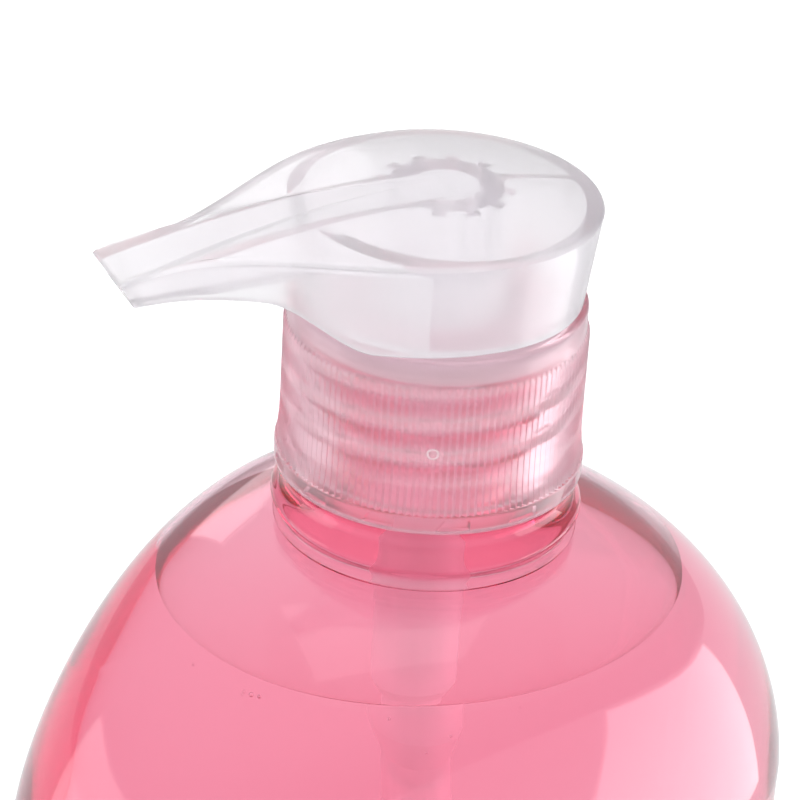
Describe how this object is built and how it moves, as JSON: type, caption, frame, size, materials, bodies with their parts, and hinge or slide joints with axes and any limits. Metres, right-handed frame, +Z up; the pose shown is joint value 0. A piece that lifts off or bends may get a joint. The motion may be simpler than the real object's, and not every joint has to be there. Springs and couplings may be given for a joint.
{
  "type": "body wash bottle",
  "caption": "Clear oval pump bottle of pink body wash, with a ribbed screw closure and a frosted lotion pump whose teardrop head is locked down.",
  "frame": {"origin": "middle of the bottle's foot, on the surface that it stands on", "axes": "+Z up along the pump's axis, X along the body's long axis with the spout towards -X, Y across the body"},
  "size_m": [0.105, 0.069, 0.2372],
  "materials": {
    "clear_pink_plastic": "clear blown polyester, glossy, tinted pink by the liquid",
    "pink_liquid": "clear pink liquid",
    "frosted_closure": "translucent natural polypropylene, satin",
    "frosted_head": "translucent natural polypropylene, satin",
    "white_plastic": "white polypropylene, satin",
    "natural_plastic": "natural polyethylene, satin",
    "soft_seal": "soft seal material, matte",
    "spring_steel": "drawn stainless wire",
    "ball_steel": "polished ball"
  },
  "bodies": {
    "bottle": {"bottle": "clear_pink_plastic", "body_wash": "pink_liquid"},
    "pump_engine": {"pump_cylinder": "natural_plastic", "neck_gasket": "soft_seal", "lock_ring": "white_plastic", "ball_cage": "white_plastic", "inlet_ball": "ball_steel", "dip_tube": "natural_plastic", "spring": "spring_steel"},
    "closure": {"closure": "frosted_closure"},
    "piston": {"piston": "soft_seal"},
    "head": {"pump_head": "frosted_head", "stem": "white_plastic", "piston_valve": "white_plastic"}
  },
  "joints": [
    {"name": "pump_lift", "type": "slide", "parent": "bottle", "child": "pump_engine", "axis": [0, 0, 1], "range_m": [0, 0.00635]},
    {"name": "closure_turn", "type": "hinge", "parent": "pump_engine", "child": "closure", "pos_m": [0, 0, 0.21], "axis": [0, 0, 1], "range_deg": [0, 540]},
    {"name": "pump_stroke", "type": "slide", "parent": "pump_engine", "child": "piston", "axis": [0, 0, 1], "range_m": [0, 0.018], "deforming": ["spring"]},
    {"name": "head_turn", "type": "hinge", "parent": "piston", "child": "head", "pos_m": [0, 0, 0.23], "axis": [0, 0, 1], "continuous": true}
  ],
  "couplings": [
    {"joint": "pump_lift", "follows": "closure_turn", "m_per_rad": 0.00067375}
  ]
}
